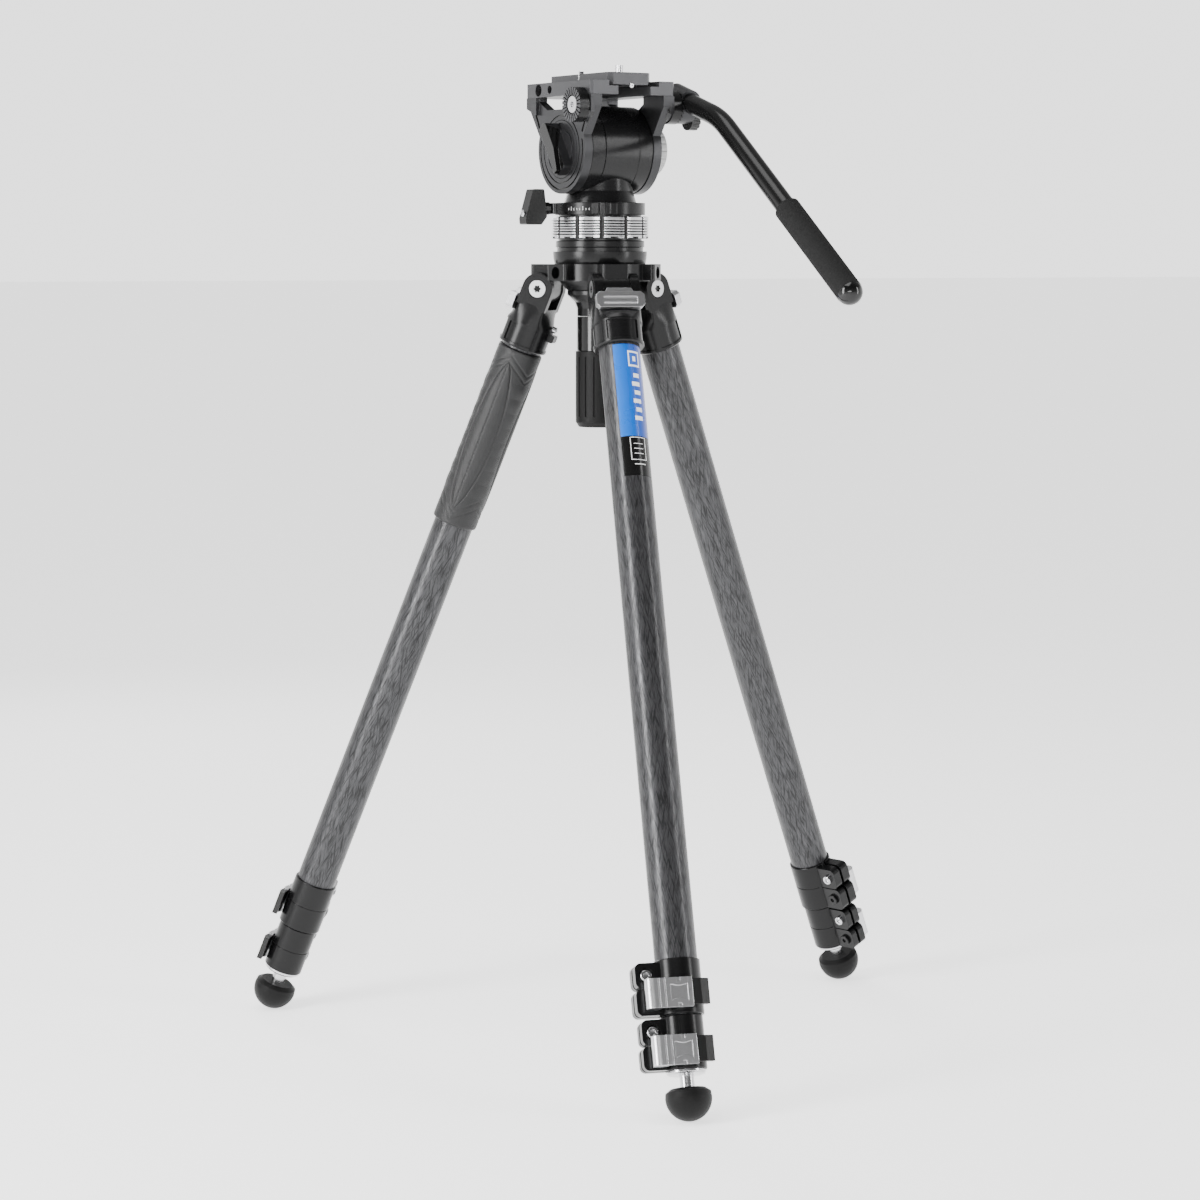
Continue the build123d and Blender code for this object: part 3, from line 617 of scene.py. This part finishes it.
# ---------------------------------------------------------------- legs' details
def collar_hardware():
    """Clamp bolts in their recesses outside, and nuts inside."""
    for leg in LEGS:
        for level, body in (("upper", f"leg_{leg}"), ("lower", f"leg_{leg}_middle")):
            _, high = span_on_leg(leg, f"leg_{leg}_{level}_collar")
            radius, top = high[0] / MM, high[2] / MM
            outer, inner, line = radius + LUG_OUTER, -(radius + LUG_INNER), -(radius + LUG_REACH)
            bolt = LEG[leg] @ at(outer, line, top - CLAMP_DROP, "X")
            socket_bolt(f"leg_{leg}_{level}_clamp_bolt", bolt, 4.3, 3.4, 2.2, M["steel"], body)
            nut = LEG[leg] @ at(inner, line, top - CLAMP_DROP, "-X")
            socket_bolt(f"leg_{leg}_{level}_clamp_nut", nut, 3.9, 2.6, 2.4, M["steel"], body)
            cam = LEG[leg] @ at(inner, line, top - CAM_DROP, "-X")
            socket_bolt(f"leg_{leg}_{level}_cam_nut", cam, 4.6, 2.2, 2.0, M["anodised"], body)


def bumper_studs():
    for leg in LEGS:
        place = LEG[leg] @ at(BUMPER_X, 0, BUMPER_Z, "-X")
        socket_bolt(f"leg_{leg}_bumper_stud", place, 2.6, 3.6, 1.2, M["steel"], f"leg_{leg}")


def leaf(angle, station):
    """How far inside the sleeve's leaf-shaped panel a point is: 1 at its middle line, 0 on its outline."""
    middle, half_length, half_width = 127.0, 64.0, 38.0   # stations in mm, and degrees either side
    along = (station - middle) / half_length
    if abs(along) >= 1:
        return -1.0
    return 1 - abs(angle) / max(half_width * (1 - along * along) ** 0.75, 1e-3)


def line_at(distance, width):
    """A soft groove's profile: 1 on its middle line, fading over about its width."""
    return math.exp(-((distance / width) ** 2))


def pad_relief(angle, station):
    """Height of the sleeve's embossing, in mm, at an angle in degrees and a station in mm down the leg."""
    panel_faces, ridges_from, ridges_to, ridge_pitch = 91, 78, 178, 12.5
    turn = (angle - panel_faces + 60) % 120 - 60
    depth = leaf(turn, station)
    height = -0.7 * line_at(depth, 1 / 12.0)
    if depth > 0:
        stitch = 1 + 0.5 * math.sin(station * 2.0)
        height += 0.55 * min(1.0, depth * 2.4) - 0.30 * line_at(turn, 1.7) * stitch
    elif ridges_from < station < ridges_to:
        wave = abs(math.sin((station - ridges_from) / ridge_pitch * math.pi))
        height += 0.42 * wave * min(1.0, -depth * 1.6)
    for end, sign in ((193.0, 1), (199.5, 1), (63.0, -1), (57.5, -1)):
        chevron = end - sign * abs(turn) * 0.22
        height -= 0.32 * line_at(station - chevron, 1.1)
    return height


def leg_pad():
    """Foam sleeve on one leg: crowned ends, leaf-shaped panels, a stitched middle line and finger ridges."""
    low, high = span_on_leg("a", "leg_a_pad")
    start, end = -high[2] / MM, -low[2] / MM
    columns, rows, crown, crown_run = 240, 300, 1.5, 2.2
    verts, faces = [], []

    def on_leg(radius, column, station):
        angle = 2 * math.pi * column / columns
        return LEG["a"] @ (Vector((radius * math.cos(angle), radius * math.sin(angle), -station)) * MM)

    for r in range(rows + 1):
        station = start + (end - start) * r / rows
        inward = 1 - min(min(station - start, end - station) / crown_run, 1.0)
        rounding = crown * (1 - math.sqrt(max(0.0, 1 - inward ** 2)))
        for c in range(columns):
            radius = PAD_R + pad_relief(360 * c / columns, station) - rounding
            verts.append(on_leg(radius, c, station))
    for station in (end, start):
        verts += [on_leg(TUBE_R + 0.02, c, station) for c in range(columns)]
    rings = list(range(rows + 3)) + [0]
    for r, n in zip(rings, rings[1:]):
        for c in range(columns):
            d = (c + 1) % columns
            faces.append((r * columns + c, r * columns + d, n * columns + d, n * columns + c))
    pad = piece_from("leg_a_grip_sleeve", verts, faces, M["leather"], "leg_a", 75)
    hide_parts("leg_a_pad")


def frame_shapes(angles, stations, side, bar):
    """Four thin shapes that make an outlined box: both ends, then both sides."""
    (a0, a1), (s0, s1) = angles, stations
    return [(a0, a1, s0, s0 + bar), (a0, a1, s1 - bar, s1),
            (a0, a0 + side, s0 + bar, s1 - bar), (a1 - side, a1, s0 + bar, s1 - bar)]


def print_on_label(name, shapes):
    """White shapes, each between two angles (degrees from outwards) and two stations (mm)."""
    for i, (a0, a1, s0, s1) in enumerate(shapes):
        curved_patch(f"leg_label_{name}_{i}", PRINT_R, (a0, a1), (s0, s1), "b", M["white"], "leg_b",
                     depth=0.06, columns=8, rows=1)


def labels():
    """A blue label with plain white shapes, and a small dark one with outline marks below it."""
    curved_patch("leg_label_blue", FILM_R, (-32, 74), (51.5, 127.0), "b", M["blue"], "leg_b")
    curved_patch("leg_label_dark", FILM_R, (-32, 60), (127.5, 159.0), "b", M["dark_print"], "leg_b")
    print_on_label("sign", frame_shapes((8, 46), (57.0, 70.0), 4, 1.6) + [(22, 32, 61.5, 65.5)])
    starts = [75.5 + 7.0 * i for i in range(6)]
    print_on_label("bar", [(14 if i % 2 else 20, 40, s, s + 3.4) for i, s in enumerate(starts)])
    rows = [(2, 30, s, s + 0.5) for s in (133.0, 137.0, 141.0)]
    print_on_label("line", frame_shapes((-8, 40), (128.0, 146.5), 2, 0.5) + rows + [(0, 34, 149.5, 150.2)])


# ---------------------------------------------------------------- head's details
def centre_yz(node):
    low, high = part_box(node)
    return (low.y + high.y) / 2 / MM, (low.z + high.z) / 2 / MM


def head_screws():
    rosette_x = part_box("rosettes")[0].x / MM + 2.6
    screw = at(rosette_x, *centre_yz("rosettes"), "-X")
    socket_bolt("rosette_screw_left", screw, 6.9, 2.0, 2.4, M["silver"], "tilt")


def plate_details():
    """The camera plate's white index mark, and the small screw under its rear edge."""
    low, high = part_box("camera_plate")
    mark = at(low.x / MM, 0, high.z / MM - 4.8)
    bar_block("plate_index_mark", mark, (0.16, 1.1, 8.6), M["white"], "plate", 0.05)
    screw = at(0.6, low.y / MM + 0.2, low.z / MM - 0.6, "-Y")
    socket_bolt("plate_stop_screw", screw, 2.0, 1.4, 0.9, M["steel"], "plate")


def pan_details():
    """Plain graduation ticks round the pan base, and the pan-lock knob's end screw."""
    lock_z = JOINTS["pan_clamp"]["pos_m"][2] / MM
    long, short = 3.0, 1.8
    for i in range(13):
        turn = math.radians(-178 + 4.2 * i)
        tall = short if i % 4 else long
        place = Matrix.Rotation(turn, 4, "Z") @ at(TICK_R, 0, lock_z - (long - tall) / 2)
        bar_block(f"pan_index_tick_{i}", place, (0.12, 0.35, tall), M["white"], "level", 0.03)
    knob_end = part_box("pan_lock_knob")[0].x / MM + 0.574
    socket_bolt("pan_knob_screw", at(knob_end, 0, lock_z - 4.0, "-X"), 2.6, 1.2, 1.1, M["steel"], "pan_lock")


camera()
lights()
pale_floor()
finish_cad()
lever_tips()
head_finishes_and_groove_shade()
bolt_drive_shade()
collar_hardware()
bumper_studs()
leg_pad()
labels()
head_screws()
plate_details()
pan_details()
